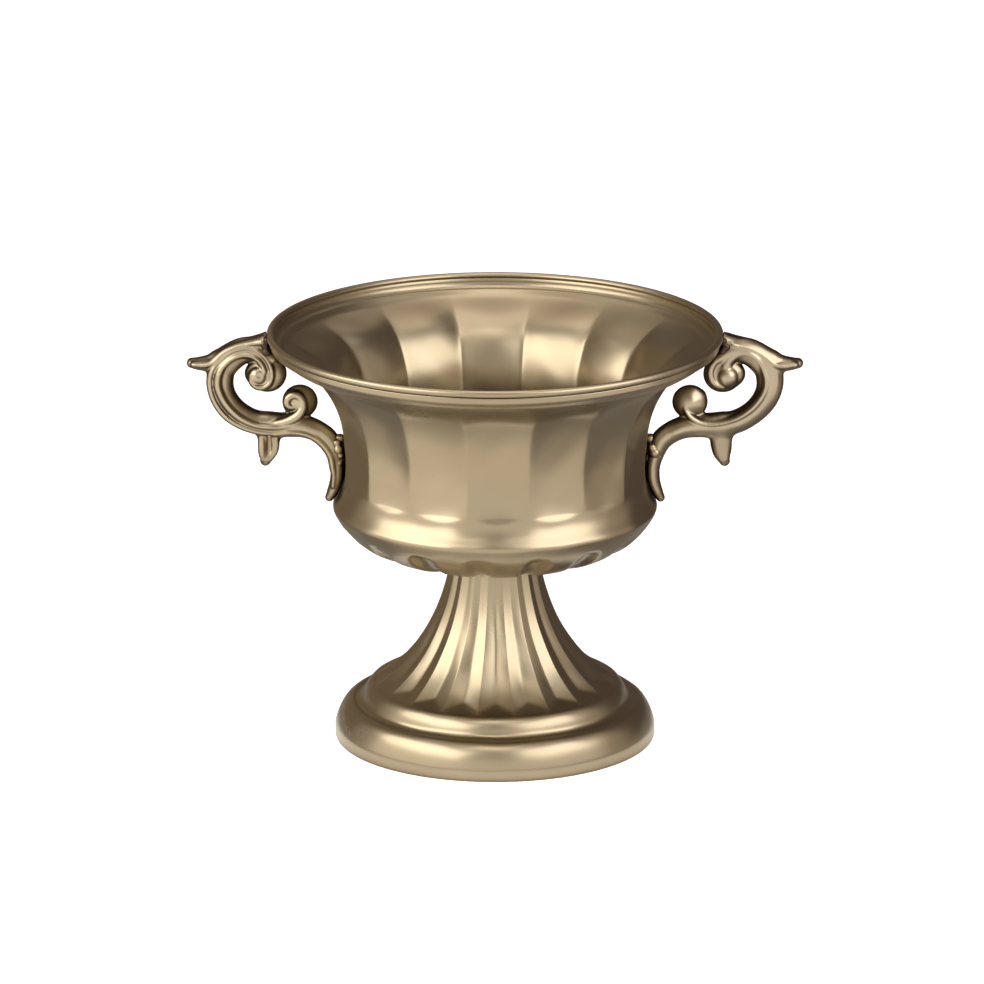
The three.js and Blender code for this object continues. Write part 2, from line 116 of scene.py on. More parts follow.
def metal(name, hex_colour, hex_shade, hex_crevice_shade, roughness, grain, grain_lift,
          hex_flank_shade=None):
    """A metallic finish: clouded colour, painted shade that darkens the crevices, fine grain in
    the coat.
    """
    material = new_material(name)
    tree = material.node_tree
    place = add(tree, "ShaderNodeTexCoord").outputs["Object"]
    clouds = add(tree, "ShaderNodeTexNoise", Vector=place, Scale=1 / (CLOUD * MM), Detail=3.0)
    share = add(tree, "ShaderNodeMapRange", {"clamp": True}, Value=clouds.outputs["Fac"],
                From_Min=0.25, From_Max=0.75, To_Min=0.0, To_Max=1.0)
    tone = add(tree, "ShaderNodeMix", {"data_type": "RGBA"}, Factor=share.outputs[0],
               _6=linear(hex_colour), _7=linear(hex_shade))
    if hex_flank_shade:
        tone = flank_shaded_tone(tree, place, tone, hex_flank_shade)
    # Painted shade: ambient occlusion darkens the colour towards the crevice colour in hollows and
    # creases
    hollow = add(tree, "ShaderNodeAmbientOcclusion", {"samples": 8}, Distance=CREVICE * MM)
    depth = add(tree, "ShaderNodeMapRange", {"clamp": True}, Value=hollow.outputs["AO"],
                From_Min=0.25, From_Max=0.8, To_Min=1.0, To_Max=0.0)
    crevice_shaded = add(tree, "ShaderNodeMix", {"data_type": "RGBA"}, Factor=depth.outputs[0],
               _6=tone.outputs[2], _7=linear(hex_crevice_shade))
    speckle = add(tree, "ShaderNodeTexNoise", Vector=place, Scale=1 / (grain * MM), Detail=2.0)
    sheen = add(tree, "ShaderNodeMapRange", {"clamp": True}, Value=clouds.outputs["Fac"],
                From_Min=0.2, From_Max=0.8, To_Min=roughness - SHEEN_SPREAD,
                To_Max=roughness + SHEEN_SPREAD)
    bump = add(tree, "ShaderNodeBump", Strength=0.5, Distance=grain_lift * MM,
               Height=speckle.outputs["Fac"])
    surface = add(tree, "ShaderNodeBsdfPrincipled", Metallic=1.0, Base_Color=crevice_shaded.outputs[2],
                  Roughness=sheen.outputs[0], Normal=bump.outputs["Normal"])
    add(tree, "ShaderNodeOutputMaterial", Surface=surface.outputs["BSDF"])
    return material


# Champagne-gold metallic coat on pressed steel: satin, with soft wide highlights
sheet_coat = metal("champagne_coat_on_pressed_steel", "A0947D", "988B73", "55432F",
                   roughness=0.29, grain=0.6, grain_lift=0.01)
# The same coat on a casting: a coarser grain, with painted shade in the grooves and on the flanks
cast_coat = metal("champagne_coat_on_casting", "B5A992", "A79B84", "3A2C20",
                  roughness=0.29, grain=0.9, grain_lift=0.02, hex_flank_shade="544534")
# Braze under the coat at the upper joints, in the shade under the arm: lumpy and dull, with
# painted shade that makes it darker and browner than what it joins
shaded_braze_coat = metal("champagne_coat_on_braze_in_painted_shade", "54463A", "483B30", "2A2018",
                   roughness=0.42, grain=1.6, grain_lift=0.08)
# The same braze under the coat at the lower joints, without the painted shade: paler, and golden
# brown
pale_braze = metal("champagne_coat_on_lower_braze", "B0A48E", "9A8768", "4A3C2C",
                   roughness=0.36, grain=1.6, grain_lift=0.05)
# Zinc-plated steel: cool grey with a faint grain
zinc_plate = metal("zinc_plated_steel", "BEC1C4", "AEB2B8", "6A6A6C",
                   roughness=0.3, grain=0.5, grain_lift=0.01)


def rubber():
    material = new_material("black_rubber")
    tree = material.node_tree
    place = add(tree, "ShaderNodeTexCoord").outputs["Object"]
    grain = add(tree, "ShaderNodeTexNoise", Vector=place, Scale=1 / (0.8 * MM))
    bump = add(tree, "ShaderNodeBump", Strength=0.4, Distance=0.03 * MM,
               Height=grain.outputs["Fac"])
    surface = add(tree, "ShaderNodeBsdfPrincipled", Base_Color=linear("29292B"), Roughness=0.75,
                  IOR=1.5, Normal=bump.outputs["Normal"])
    add(tree, "ShaderNodeOutputMaterial", Surface=surface.outputs["BSDF"])
    return material


# Moulded rubber: near black and matt
rubber_black = rubber()


# Mesh building

SHARP_EDGES = 60
NO_SHARP_EDGES = 180


def make_piece(name, points_mm, faces, material, node, sharp_angle=SHARP_EDGES):
    """A mesh from points in millimetres that stands for a node of the frame."""
    mesh = bpy.data.meshes.new(name)
    mesh.from_pydata((np.asarray(points_mm) * MM).tolist(), [], faces)
    mesh.validate()
    mesh.materials.append(material)
    mesh.shade_smooth()
    mesh.set_sharp_from_angle(angle=math.radians(sharp_angle))
    piece = bpy.data.objects.new(name, mesh)
    bpy.context.scene.collection.objects.link(piece)
    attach(piece, "root")
    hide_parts(node)


def bezier(start, leave, arrive, end, steps):
    t = np.linspace(0, 1, steps + 1)[:, None]
    ends = [np.array(p, float) for p in (start, leave, arrive, end)]
    shares = ((1 - t) ** 3, 3 * t * (1 - t) ** 2, 3 * t ** 2 * (1 - t), t ** 3)
    return sum(share * p for share, p in zip(shares, ends))


def arc(centre, radius, start_deg, end_deg, steps):
    turn = np.radians(np.linspace(start_deg, end_deg, steps + 1))
    return np.stack([centre[0] + radius * np.cos(turn), centre[1] + radius * np.sin(turn)], 1)


def joined(*runs):
    """Runs of points joined end to end, without doubled points."""
    points = [np.asarray(run, float).reshape(-1, 2) for run in runs]
    line = np.concatenate(points)
    apart = np.linalg.norm(np.diff(line, axis=0), axis=1) > 1e-6
    return line[np.concatenate([[True], apart])]


def evened(line, spacing):
    """The same line with points at about one spacing."""
    step = np.linalg.norm(np.diff(line, axis=0), axis=1)
    way = np.concatenate([[0], np.cumsum(step)])
    places = np.linspace(0, way[-1], max(int(round(way[-1] / spacing)), 1) + 1)
    return np.stack([np.interp(places, way, line[:, i]) for i in (0, 1)], 1)


def inward_sides(line):
    """The inward side of each point of an outline that runs upwards."""
    along = np.gradient(line, axis=0)
    along /= np.linalg.norm(along, axis=1)[:, None]
    return np.stack([-along[:, 1], along[:, 0]], 1)


def smooth(value, low, high):
    t = np.clip((value - low) / (high - low), 0, 1)
    return t * t * (3 - 2 * t)


def flute_angles(count, per_flute):
    """Angles round the axis, crowded towards the middle and the edges of each flute."""
    t = np.linspace(-1, 1, per_flute + 1)[:-1]
    shares = np.sign(t) * (1 - np.cos(math.pi * t)) / 2
    starts = np.arange(count) * FULL_TURN / count
    return (starts[:, None] + shares[None, :] * math.pi / count).ravel()


def across_flute(angle, count):
    """0 at the middle of a flute, 1 at its edges."""
    turns = angle / FULL_TURN * count
    return np.abs(turns - np.round(turns)) * 2


def concave(across, edge):
    """Depth across a round flute, 1 in its middle. The share called edge is rounded over."""
    rounded = 2 * edge - edge ** 2 - (1 - edge) * (edge ** 2 - (1 - across) ** 2) / edge
    return np.where(across < 1 - edge, 1 - across ** 2, rounded)


def two_sided(across, valley):
    """Depth across a flute with two flat sides, 1 in its valley, which is rounded a little."""
    rise = np.sqrt(across ** 2 + valley ** 2) - valley
    return 1 - rise / (math.sqrt(1 + valley ** 2) - valley)


def lesser(one, other, blend):
    """The smaller of two depths, with a soft change from one to the other."""
    share = np.clip(0.5 + (other - one) / (2 * blend), 0, 1)
    return other + (one - other) * share - blend * share * (1 - share)


def dents(angle, along, lift):
    """Shallow unevenness of a pressed sheet: a few long waves that cross each other. Each wave
    is (times round the axis, turn for a millimetre along, start)."""
    waves = ((5, 0.37, 0.7), (9, 0.20, 0.0), (14, -0.26, 1.3), (19, 0.15, 4.1), (23, -0.31, 2.2))
    return lift * sum(np.sin(turns * angle + rise * along + start) for turns, rise, start in waves)


def turned(profile, angles):
    """Revolves (r, z, inward r, inward z, depth) rows that form a closed loop, and returns
    points and faces. depth has one column for each angle."""
    r, z, in_r, in_z, depth = profile
    radius = r[:, None] + in_r[:, None] * depth
    height = z[:, None] + in_z[:, None] * depth
    x = radius * np.sin(angles)[None, :]
    y = -radius * np.cos(angles)[None, :]
    points = np.stack([x, y, height], 2).reshape(-1, 3)
    rows, columns = radius.shape
    row = np.arange(rows)[:, None]
    column = np.arange(columns)[None, :]
    next_row = (row + 1) % rows
    next_column = (column + 1) % columns
    corners = [row * columns + column, row * columns + next_column,
               next_row * columns + next_column, next_row * columns + column]
    faces = np.stack([np.broadcast_to(c, (rows, columns)) for c in corners], 2)
    return points, faces.reshape(-1, 4)


def sheet_loop(outer, relief, angles, before, after):
    """A closed loop round a formed sheet: plain points before, its outer face, plain points
    after, and its inner face back again."""
    def plain(line):
        return line, np.zeros_like(line), np.zeros((len(line), len(angles)))

    inward = inward_sides(outer)
    depth = relief(angles[None, :], outer[:, :1], outer[:, 1:])
    inner = outer + inward * SHEET
    runs = [plain(before), (outer, inward, depth), plain(after),
            (inner[::-1], inward[::-1], depth[::-1])]
    places = np.concatenate([run[0] for run in runs])
    sides = np.concatenate([run[1] for run in runs])
    depths = np.concatenate([run[2] for run in runs])
    return places[:, 0], places[:, 1], sides[:, 0], sides[:, 1], depths


# Bowl

BELLY = (58.85, 86.3)
SHOULDER_TOP = (55.3, 98.0)
WAIST = (55.3, 104.0)
LEDGE = (78.4, 146.3)
BEAD_RADIUS = 1.3
COLLAR_RADIUS = 81.4
PANELS = 16
PANEL_POINTS = 20
PANEL_TURN = 1.1
PANEL_DEPTH = 1.9
PANEL_EDGE = 0.08
PANEL_TOE_CURVE = 1.3
SCOOP_TURN = 14.8
SCOOP_DEPTH = 1.4
SCOOP_TOP = 82.5
SCOOP_ROUNDNESS = 1.35
SCOOP_HALF_WIDTH = 5.6
SCOOP_WIDTH_RADIUS = 56
TOES_BELOW = 102
TOE_SPACING = 0.8
FLARE_SPACING = 1.3
FLOOR_SPACING = 2.5
BOWL_DENTS = 0.045


def bowl_outline():
    """From the floor up to the ledge. The toes of the panels have closer points."""
    underside = bezier((17, BOWL_FLOOR), (35.3, 70.8), (50.7, 69.7), BELLY, 90)
    shoulder = bezier(BELLY, (59.57, 88.9), (55.3, 89.8), SHOULDER_TOP, 40)
    wall = bezier(WAIST, (55.3, 142.2), (75.7, 140.3), LEDGE, 90)
    toe = wall[wall[:, 1] < TOES_BELOW]
    flare = wall[wall[:, 1] >= TOES_BELOW]
    lower = evened(joined(underside, shoulder, toe), TOE_SPACING)
    return joined(lower, evened(flare, FLARE_SPACING))


def panel_depth(angle, z):
    """A concave wall panel, which starts at a curved toe and fades out under the ledge."""
    across = across_flute(angle, PANELS)
    depth = PANEL_DEPTH * concave(across, PANEL_EDGE) * (0.55 + 0.45 * smooth(z, 97, 114))
    toe = z - PANEL_TOE_CURVE * across ** 2
    return depth * smooth(toe, 95.5, 98.6) * (1 - smooth(z, 134, 145))


def scoop_depth(angle, r, z):
    """A round-topped scoop in the underside, which narrows and fades towards the axis."""
    across = across_flute(angle - math.radians(SCOOP_TURN), PANELS) * math.pi / PANELS * r
    half = SCOOP_HALF_WIDTH * r / SCOOP_WIDTH_RADIUS
    below_top = (SCOOP_TOP - z) * SCOOP_ROUNDNESS
    cap = np.clip(half - below_top, 0, None)
    edge = np.sqrt(across ** 2 + cap ** 2) - half
    return SCOOP_DEPTH * (1 - smooth(edge, -4.2, 0.6)) * smooth(r, 18, 32)


def bowl_relief(angle, r, z):
    """Depth pressed into the sheet: panels above the belly, scoops below it, slight dents."""
    pressed = np.where(z > BELLY[1], panel_depth(angle, z), scoop_depth(angle, r, z))
    even = smooth(z, 70, 80) * (1 - smooth(z, 138, 146))
    return pressed + dents(angle, z, BOWL_DENTS) * even


def rim_points():
    """Collar with a rounded lower edge, a groove, and the rolled bead; then down inside."""
    bead = (RIM_RADIUS - BEAD_RADIUS, RIM_TOP - BEAD_RADIUS)
    return joined(
        bezier((78.9, 146.55), (79.7, 146.8), (80.2, 146.9), (80.6, 147.2), 5),
        arc((80.2, 148.4), 1.2, -70, 0, 6),
        [(COLLAR_RADIUS, 149.4)],
        arc((80.9, 149.5), 0.5, 0, 90, 4),
        [(80.85, 150.2)],
        arc(bead, BEAD_RADIUS, -75, 215, 26),
        bezier((79.9, 150.3), (79.9, 148.0), (79.2, 147.5), (77.9, 147.1), 9),
    )


def build_bowl():
    angles = flute_angles(PANELS, PANEL_POINTS)
    hole = [(BOLT_HOLE, BOWL_FLOOR + SHEET), (BOLT_HOLE, BOWL_FLOOR)]
    floor = evened(joined([(BOLT_HOLE + 0.2, BOWL_FLOOR), (16.5, BOWL_FLOOR)]), FLOOR_SPACING)
    profile = sheet_loop(bowl_outline(), bowl_relief, angles, joined(hole, floor), rim_points())
    points, faces = turned(profile, angles + math.radians(PANEL_TURN))
    make_piece("pressed_bowl", points, faces.tolist(), sheet_coat, "bowl")


# Foot

FOOT_RADIUS = 58.4
BAND_TOP = 4.3
COVE_END = (51.2, 13.4)
STEP_END = (48.1, 15.6)
FLUTE_END = (43.8, 20.2)
STEM_TOP_RADIUS = 16.4
FOOT_SPACING = 0.6
FLUTES = 20
FLUTE_POINTS = 16
FLUTE_TURN = 0.5
FLUTE_SLOPE = 0.23
VALLEY = 0.12
TOE_RADIUS = 44.3
TOE_CURVE = 1.6
TOE_SLOPE = 0.24
TOE_BLEND = 0.12
FOOT_DENTS = 0.02


def foot_outline():
    """From the table up: outer band, roll, cove, step and stem."""
    band = [(FOOT_RADIUS, 0.0), (FOOT_RADIUS, BAND_TOP)]
    roll = bezier((FOOT_RADIUS, BAND_TOP), (FOOT_RADIUS, 4.8), (56.1, 14.0), COVE_END, 40)
    cove = bezier(COVE_END, (49.3, 13.4), (48.4, 14.5), STEP_END, 14)
    step = bezier(STEP_END, (47.2, 18.1), (45.5, 20.2), FLUTE_END, 24)
    stem = bezier(FLUTE_END, (29.4, 28.3), (19.25, 46.0), (STEM_TOP_RADIUS, FOOT_TOP), 100)
    return evened(joined(band, roll, cove, step, stem), FOOT_SPACING)


def foot_relief(angle, r, z):
    """Flutes with two flat sides and sharp ridges. Each runs out in a pointed toe at the step."""
    across = across_flute(angle, FLUTES)
    sides = FLUTE_SLOPE * math.pi / FLUTES * r * two_sided(across, VALLEY)
    toe_line = TOE_RADIUS - TOE_CURVE * across ** 2
    toe = np.clip((toe_line - r) * TOE_SLOPE, 0, None)
    top = 1 - smooth(z, 64.5, 65.6)
    even = smooth(z, 1, 6) * top
    flute = np.clip(lesser(sides, toe, TOE_BLEND), 0, None)
    return flute * top + dents(angle, 2 * r, FOOT_DENTS) * even


def build_foot():
    angles = flute_angles(FLUTES, FLUTE_POINTS)
    top_plate = joined([(16.0, FOOT_TOP), (BOLT_HOLE, FOOT_TOP), (BOLT_HOLE, FOOT_TOP - SHEET),
                        (15.4, FOOT_TOP - SHEET)])
    hem = joined([(57.2, 0.9), (55.4, 0.9), (55.2, 0.7), (55.2, 0.2), (55.4, 0.0), (58.2, 0.0)])
    profile = sheet_loop(foot_outline()[1:], foot_relief, angles, hem, top_plate)
    points, faces = turned(profile, angles + math.radians(FLUTE_TURN))
    make_piece("fluted_foot", points, faces.tolist(), sheet_coat, "foot")


build_bowl()
build_foot()


# Handle casting, drawn as the right handle: +X outwards, ornament on the +Y side

GRID = 0.31
HANDLE_LOW = (52.0, -6.2, 85.0)
HANDLE_HIGH = (112.4, 6.6, 153.4)
CASTING_GAP = 0.12
BRAZE_GAP = 0.05
FAR_OUTSIDE = 99.0
FULLEST = 1.25
CRISP = 0.4
OVAL = 2.0
PEAKED = 1.5


def flowing(points, spacing=0.4):
    """A smooth line through the (x, z, half width) points of a stroke."""
    rows = np.array(points, float)
    rows = np.vstack([2 * rows[0] - rows[1], rows, 2 * rows[-1] - rows[-2]])
    spans = []
    for a, b, c, d in zip(rows, rows[1:], rows[2:], rows[3:]):
        steps = max(int(np.linalg.norm((c - b)[:2]) / spacing), 1)
        t = np.linspace(0, 1, steps, endpoint=False)[:, None]
        spans.append((2 * b + (c - a) * t + (2 * a - 5 * b + 4 * c - d) * t ** 2
                      + (3 * b - a - 3 * c + d) * t ** 3) / 2)
    return np.vstack(spans + [rows[-2:-1]])


class Clay:
    """A block of places round a casting or a braze. Its field is below 0 inside the metal."""

    def __init__(self, low, high, step):
        self.low = np.array(low, float)
        self.step = step
        x, y, z = (np.arange(a, b, step) for a, b in zip(low, high))
        self.x, self.y, self.z = x[:, None, None], y[None, :, None], z[None, None, :]
        self.field = np.full((len(x), len(y), len(z)), FAR_OUTSIDE, np.float32)

    def bar(self, stroke, depth, lift, power):
        """The field of a bar along a stroke. Its section is an oval, or a peak with flatter
        sides where power is less than 2. A thin bar is at most FULLEST times as deep as wide."""
        line = flowing(stroke)
        start = line[:-1, :2]
        step = np.diff(line[:, :2], axis=0)
        off_x = self.x[:, 0, :, None] - start[:, 0]
        off_z = self.z[:, 0, :, None] - start[:, 1]
        share = (off_x * step[:, 0] + off_z * step[:, 1]) / (step ** 2).sum(1)
        share = np.clip(share, 0, 1)
        away = np.hypot(off_x - share * step[:, 0], off_z - share * step[:, 1])
        near = away.argmin(2)
        share = np.take_along_axis(share, near[..., None], 2)[..., 0]
        away = np.take_along_axis(away, near[..., None], 2)[..., 0]
        width = (line[near, 2] * (1 - share) + line[near + 1, 2] * share)[:, None, :]
        away = away[:, None, :]
        half = np.minimum(depth, width * FULLEST)
        off_x = away / width
        off_y = np.abs(self.y - lift) / half
        reach = (off_x ** power + off_y ** power) ** (1 / power)
        slope = np.hypot(off_x ** (power - 1) / width, off_y ** (power - 1) / half)
        slope = slope * np.maximum(reach, 1e-3) ** (1 - power)
        return ((reach - 1) / np.maximum(slope, 0.05)).astype(np.float32)

    def lay(self, stroke, depth, lift=0.0, melt=1.0, power=OVAL):
        """Adds a bar, and melts it into what is there."""
        other = self.bar(stroke, depth, lift, power)
        share = np.clip(0.5 + (other - self.field) / (2 * melt), 0, 1)
        self.field = other + (self.field - other) * share - melt * share * (1 - share)

    def carve(self, stroke, depth, lift, melt=CRISP):
        """Cuts a groove along a stroke."""
        other = -self.bar(stroke, depth, lift, OVAL)
        share = np.clip(0.5 - (other - self.field) / (2 * melt), 0, 1)
        self.field = other + (self.field - other) * share + melt * share * (1 - share)

    def clear_of_bowl(self, gap):
        """Cuts back to a gap from the bowl."""
        across = np.hypot(self.x, self.y)
        inside = np.interp(self.z, *bowl_reach()) + gap - across
        self.field = np.maximum(self.field, inside.astype(np.float32))

    def skin(self):
        """The surface as points and four-sided faces, one point for each cell it crosses."""
        field = self.field
        cells = tuple(n - 1 for n in field.shape)
        total = np.zeros((*cells, 3))
        count = np.zeros(cells)
        crossings = []
        for axis in range(3):
            low = [slice(None)] * 3
            high = [slice(None)] * 3
            low[axis], high[axis] = slice(0, -1), slice(1, None)
            start, end = field[tuple(low)], field[tuple(high)]
            at = np.argwhere((start < 0) != (end < 0))
            first = start[tuple(at.T)]
            last = end[tuple(at.T)]
            place = at.astype(float)
            place[:, axis] += first / (first - last)
            one, two = [a for a in range(3) if a != axis]
            round_edge = []
            for step_one, step_two in ((0, 0), (1, 0), (1, 1), (0, 1)):
                cell = at.copy()
                cell[:, one] -= step_one
                cell[:, two] -= step_two
                np.add.at(total, tuple(cell.T), place)
                np.add.at(count, tuple(cell.T), 1)
                round_edge.append(cell)
            turned_over = (first < 0) == (axis != 1)
            crossings.append((round_edge, turned_over))
        used = count > 0
        number = np.full(cells, -1)
        number[used] = np.arange(used.sum())
        points = total[used] / count[used][:, None]
        faces = []
        for round_edge, turned_over in crossings:
            quad = np.stack([number[tuple(cell.T)] for cell in round_edge], 1)
            faces.append(np.where(turned_over[:, None], quad, quad[:, ::-1]))
        faces = np.concatenate(faces)
        return eased(points * self.step + self.low, faces), faces


def eased(points, faces, rounds=3):
    """Points drawn towards the middle of their neighbours, to even a skin out."""
    ends = np.concatenate([faces[:, [i, (i + 1) % 4]] for i in range(4)])
    count = np.bincount(ends[:, 0], minlength=len(points))[:, None]
    for _ in range(rounds):
        total = np.stack([np.bincount(ends[:, 0], points[ends[:, 1], i], len(points))
                          for i in range(3)], 1)
        points = points + 0.5 * (total / count - points)
    return points


def bowl_reach():
    """Heights and outer radii of the bowl at the middle of a wall panel."""
    wall = bowl_outline()
    wall = wall[wall[:, 1] > BELLY[1]]
    radius = wall[:, 0] - bowl_relief(0.0, wall[:, 0], wall[:, 1])
    heights = np.concatenate([[BOWL_FLOOR, BELLY[1]], wall[:, 1], [147.0, 149.6, 151.0, RIM_TOP]])
    radii = np.concatenate([[BELLY[0]] * 2, radius, [COLLAR_RADIUS] * 2, [RIM_RADIUS] * 2])
    return heights, radii


def spot(x, z, radius):
    """A stroke so short that its bar is a button."""
    return [(x, z, radius), (x + 0.2, z, radius)]


# Main strokes: (x, z, half width)
SCROLL = [(80.6, 142.2, 3.0), (85.2, 144.8, 4.1), (90.3, 145.1, 4.9), (95.4, 142.4, 5.2),
          (98.6, 138.3, 5.1), (99.5, 134.1, 5.0), (99.1, 130.2, 4.8), (97.2, 126.0, 4.6),
          (93.7, 122.1, 4.4), (88.9, 119.0, 4.4), (83.8, 117.5, 4.5), (78.4, 117.0, 4.5),
          (73.3, 117.0, 4.2), (69.0, 116.4, 3.7), (65.5, 115.0, 3.0)]
ARM = [(81.0, 148.7, 3.9), (84.6, 148.0, 3.2), (89.6, 146.7, 3.0), (95.0, 144.9, 3.1),
       (99.6, 142.1, 3.2)]
SPIKE = [(96.5, 141.4, 4.4), (100.1, 140.8, 4.0), (103.8, 140.2, 3.1), (107.2, 140.1, 2.4),
         (109.6, 140.3, 1.9)]
SPUR = [(82.0, 116.7, 4.8), (82.0, 110.7, 4.0), (82.3, 107.0, 3.4), (82.9, 104.8, 2.6),
        (83.3, 103.6, 2.0)]
TAIL = [(78.4, 117.0, 4.2), (73.3, 117.0, 4.4), (68.6, 116.3, 4.2), (64.3, 114.5, 4.1),
        (60.3, 111.2, 3.9), (58.0, 105.6, 3.2), (57.0, 100.9, 2.9), (57.3, 96.1, 2.7),
        (58.9, 91.9, 2.2), (60.2, 89.6, 1.6)]
UPPER_BOSS = (82.3, 136.4)
LOWER_BOSS = (70.5, 125.8)


def casting():
    """The whole handle: its strokes and bosses, and then the relief of its two faces."""
    clay = Clay(HANDLE_LOW, HANDLE_HIGH, GRID)
    clay.lay(SCROLL, 3.9, -0.3, power=1.7)
    clay.lay(ARM, 3.3, -0.1, 0.5)
    clay.lay(SPIKE, 3.0, -0.1, 1.6)
    clay.lay(SPUR, 2.8, -0.2, 1.8)
    clay.lay(TAIL, 3.5, -0.2, 1.2, 1.7)
    clay.lay(spot(*UPPER_BOSS, 7.0), 3.6, -0.2, 0.8)
    clay.lay(spot(85.6, 136.4, 4.8), 3.4, -0.2, 0.8)
    clay.lay(spot(*LOWER_BOSS, 6.4), 4.1, -0.2, 0.8, PEAKED)
    lay_ornament(clay)
    lay_back(clay)
    clay.clear_of_bowl(CASTING_GAP)
    return clay.skin()


def lay_ornament(clay):
    """The moulded face: three crests that run side by side, and two of them coil into eyes."""
    arm_crest = [(109.0, 140.4, 1.1), (105.0, 140.4, 1.5), (102.2, 141.2, 1.5),
                 (100.2, 143.0, 1.4), (98.0, 144.9, 1.3), (95.6, 146.3, 1.3),
                 (92.9, 147.4, 1.3), (90.0, 148.1, 1.4), (86.8, 148.7, 1.6), (84.0, 149.2, 2.0)]
    outer_crest = [(58.8, 94.4, 0.8), (58.4, 98.2, 1.1), (58.8, 101.6, 1.4), (59.4, 105.2, 1.5),
                   (60.8, 108.2, 1.5), (63.0, 110.9, 1.5), (65.6, 113.0, 1.5),
                   (69.4, 114.6, 1.5), (74.6, 115.1, 1.4), (80.6, 114.6, 1.3),
                   (87.3, 115.6, 1.3), (93.3, 117.9, 1.3), (98.0, 121.4, 1.3),
                   (101.3, 126.2, 1.3), (102.9, 131.2, 1.3), (103.0, 135.6, 1.3),
                   (101.6, 139.4, 1.2), (99.0, 142.4, 1.2), (96.0, 144.8, 1.2),
                   (93.0, 146.2, 1.2), (89.6, 146.7, 1.2), (86.4, 145.8, 1.2),
                   (83.9, 144.0, 1.2), (81.9, 141.5, 1.2), (80.8, 138.6, 1.3),
                   (80.7, 135.6, 1.3), (81.9, 133.2, 1.3), (84.2, 131.9, 1.3),
                   (86.4, 132.3, 1.3), (88.0, 134.0, 1.2), (88.2, 136.2, 1.1)]
    inner_crest = [(72.6, 117.6, 0.7), (76.0, 117.3, 1.2), (80.6, 117.2, 1.6), (86.7, 117.9, 1.6),
                   (92.8, 120.9, 1.7), (97.3, 125.6, 1.7), (99.8, 130.8, 1.8),
                   (100.2, 135.0, 1.8), (99.0, 138.8, 1.7), (96.9, 141.4, 1.6),
                   (94.2, 143.3, 1.5), (91.2, 144.2, 1.4), (88.0, 143.8, 1.3),
                   (85.6, 142.3, 1.3), (84.0, 140.2, 1.3), (83.2, 138.0, 1.3)]
    lower_crest = [(84.0, 118.4, 0.7), (80.2, 118.3, 1.3), (76.4, 118.9, 1.8), (73.6, 120.0, 2.0),
                   (71.2, 121.6, 2.1), (69.7, 124.0, 2.0), (69.6, 126.6, 1.8),
                   (71.0, 128.6, 1.7), (73.1, 129.0, 1.6), (74.9, 127.8, 1.6),
                   (75.3, 125.9, 1.5), (74.2, 124.6, 1.3), (73.0, 124.6, 1.1)]
    tail_crest = [(74.2, 117.6, 1.0), (69.4, 117.5, 1.4), (64.6, 115.9, 1.5),
                  (60.4, 112.6, 1.5), (57.4, 107.6, 1.4), (56.4, 101.6, 1.3),
                  (56.6, 96.4, 1.1), (57.6, 92.4, 0.8)]
    outer_rib = [(84.6, 115.0, 1.0), (84.5, 110.0, 1.5), (84.4, 106.7, 1.4), (84.1, 104.4, 1.0)]
    inner_rib = [(79.4, 113.6, 0.9), (79.2, 109.8, 1.1), (79.9, 106.8, 1.0), (81.4, 104.6, 0.8)]
    spur_groove = [(81.9, 113.6, 1.0), (81.7, 109.2, 1.3), (82.2, 105.6, 0.8)]
    clay.lay(arm_crest, 2.4, 2.3, CRISP, PEAKED)
    clay.lay(outer_crest, 2.2, 2.6, CRISP, PEAKED)
    clay.lay(inner_crest, 2.8, 2.8, CRISP, PEAKED)
    clay.lay(spot(85.6, 136.2, 3.3), 2.6, 2.2, CRISP)
    clay.lay(lower_crest, 2.6, 2.2, CRISP)
    clay.lay(tail_crest, 2.0, 1.2, CRISP)
    clay.carve(spot(84.9, 136.6, 1.1), 0.9, 5.1, 0.5)
    clay.lay(outer_rib, 2.2, 1.6, CRISP)
    clay.lay(inner_rib, 1.9, 1.3, CRISP)
    clay.carve(spur_groove, 2.6, 3.2)


